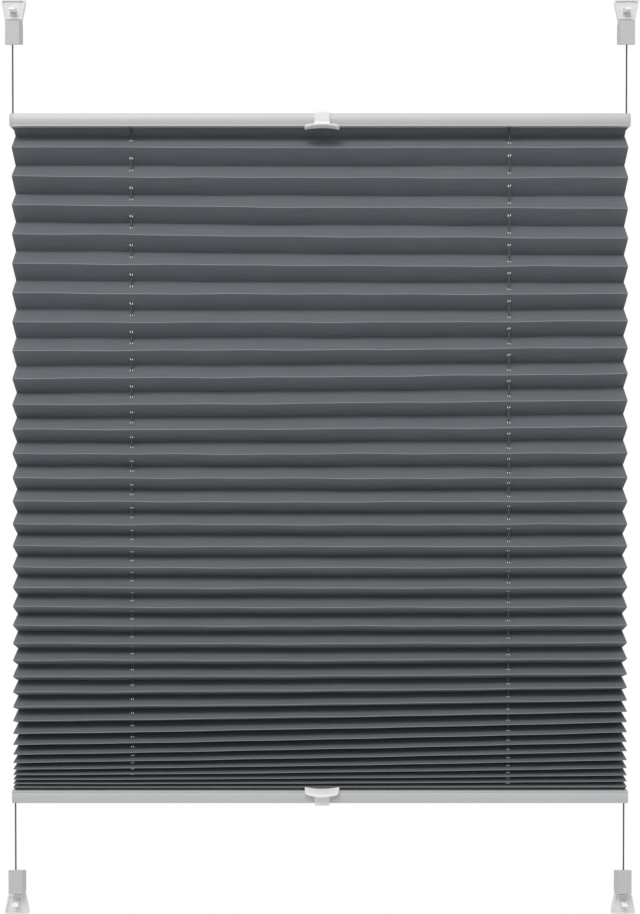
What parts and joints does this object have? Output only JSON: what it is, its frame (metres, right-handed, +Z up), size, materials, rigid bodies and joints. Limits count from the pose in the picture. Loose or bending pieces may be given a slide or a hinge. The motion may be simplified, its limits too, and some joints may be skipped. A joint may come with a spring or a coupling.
{
  "type": "pleated blind",
  "caption": "Cord-tensioned pleated blind between two hand-moved slim rails with finger handles, on clamps that grip a window sash.",
  "frame": {"origin": "middle of the window sash's front face, half way between the four clamps' pads", "axes": "+X along the rails to the right as seen from the room, +Y from the room towards the window, +Z up"},
  "size_m": [0.6248, 0.051, 0.9016],
  "materials": {
    "rail_aluminium": "satin anodised",
    "strip_plastic": "plain extruded",
    "handle_plastic": "satin moulded",
    "cap_plastic": "satin moulded",
    "guide_plastic": "moulded",
    "pin_steel": "ground",
    "clamp_plastic": "satin moulded",
    "pad_rubber": "matt foam",
    "shoe_plastic": "satin moulded",
    "spool_plastic": "moulded",
    "fabric": "matt woven polyester, anthracite",
    "cord": "braided polyester, grey"
  },
  "bodies": {
    "root": {"pleated_fabric": "fabric", "left_tension_cord": "cord", "right_tension_cord": "cord", "top_left_clamp_plate": "clamp_plastic", "top_left_front_pad": "pad_rubber", "top_left_tension_shoe": "shoe_plastic", "top_left_cord_spool": "spool_plastic", "top_right_clamp_plate": "clamp_plastic", "top_right_front_pad": "pad_rubber", "top_right_tension_shoe": "shoe_plastic", "top_right_cord_spool": "spool_plastic", "bottom_left_clamp_plate": "clamp_plastic", "bottom_left_front_pad": "pad_rubber", "bottom_left_tension_shoe": "shoe_plastic", "bottom_left_cord_spool": "spool_plastic", "bottom_right_clamp_plate": "clamp_plastic", "bottom_right_front_pad": "pad_rubber", "bottom_right_tension_shoe": "shoe_plastic", "bottom_right_cord_spool": "spool_plastic"},
    "top_rail": {"top_rail": "rail_aluminium", "top_retaining_strip": "strip_plastic", "top_left_end_cap": "cap_plastic", "top_left_cord_guide": "guide_plastic", "top_left_guide_pin": "pin_steel", "top_right_end_cap": "cap_plastic", "top_right_cord_guide": "guide_plastic", "top_right_guide_pin": "pin_steel"},
    "top_handle": {"top_handle": "handle_plastic"},
    "bottom_rail": {"bottom_rail": "rail_aluminium", "bottom_retaining_strip": "strip_plastic", "bottom_left_end_cap": "cap_plastic", "bottom_left_cord_guide": "guide_plastic", "bottom_left_guide_pin": "pin_steel", "bottom_right_end_cap": "cap_plastic", "bottom_right_cord_guide": "guide_plastic", "bottom_right_guide_pin": "pin_steel"},
    "bottom_handle": {"bottom_handle": "handle_plastic"},
    "top_left_hook": {"top_left_clamp_hook": "clamp_plastic", "top_left_jaw_pad": "pad_rubber"},
    "top_right_hook": {"top_right_clamp_hook": "clamp_plastic", "top_right_jaw_pad": "pad_rubber"},
    "bottom_left_hook": {"bottom_left_clamp_hook": "clamp_plastic", "bottom_left_jaw_pad": "pad_rubber"},
    "bottom_right_hook": {"bottom_right_clamp_hook": "clamp_plastic", "bottom_right_jaw_pad": "pad_rubber"}
  },
  "joints": [
    {"name": "top_rail_slide", "type": "slide", "parent": "root", "child": "top_rail", "axis": [0, 0, 1], "range_m": [-0.302, 0.064], "deforming": ["pleated_fabric", "left_tension_cord", "right_tension_cord"]},
    {"name": "bottom_rail_slide", "type": "slide", "parent": "root", "child": "bottom_rail", "axis": [0, 0, 1], "range_m": [-0.064, 0.302], "deforming": ["pleated_fabric", "left_tension_cord", "right_tension_cord"]},
    {"name": "top_handle_slide", "type": "slide", "parent": "top_rail", "child": "top_handle", "axis": [1, 0, 0], "range_m": [-0.275, 0.271]},
    {"name": "bottom_handle_slide", "type": "slide", "parent": "bottom_rail", "child": "bottom_handle", "axis": [1, 0, 0], "range_m": [-0.275, 0.271]},
    {"name": "top_left_hook_slide", "type": "slide", "parent": "root", "child": "top_left_hook", "axis": [0, 1, 0], "range_m": [-0.007, 0.006]},
    {"name": "top_right_hook_slide", "type": "slide", "parent": "root", "child": "top_right_hook", "axis": [0, 1, 0], "range_m": [-0.007, 0.006]},
    {"name": "bottom_left_hook_slide", "type": "slide", "parent": "root", "child": "bottom_left_hook", "axis": [0, 1, 0], "range_m": [-0.007, 0.006]},
    {"name": "bottom_right_hook_slide", "type": "slide", "parent": "root", "child": "bottom_right_hook", "axis": [0, 1, 0], "range_m": [-0.007, 0.006]}
  ]
}
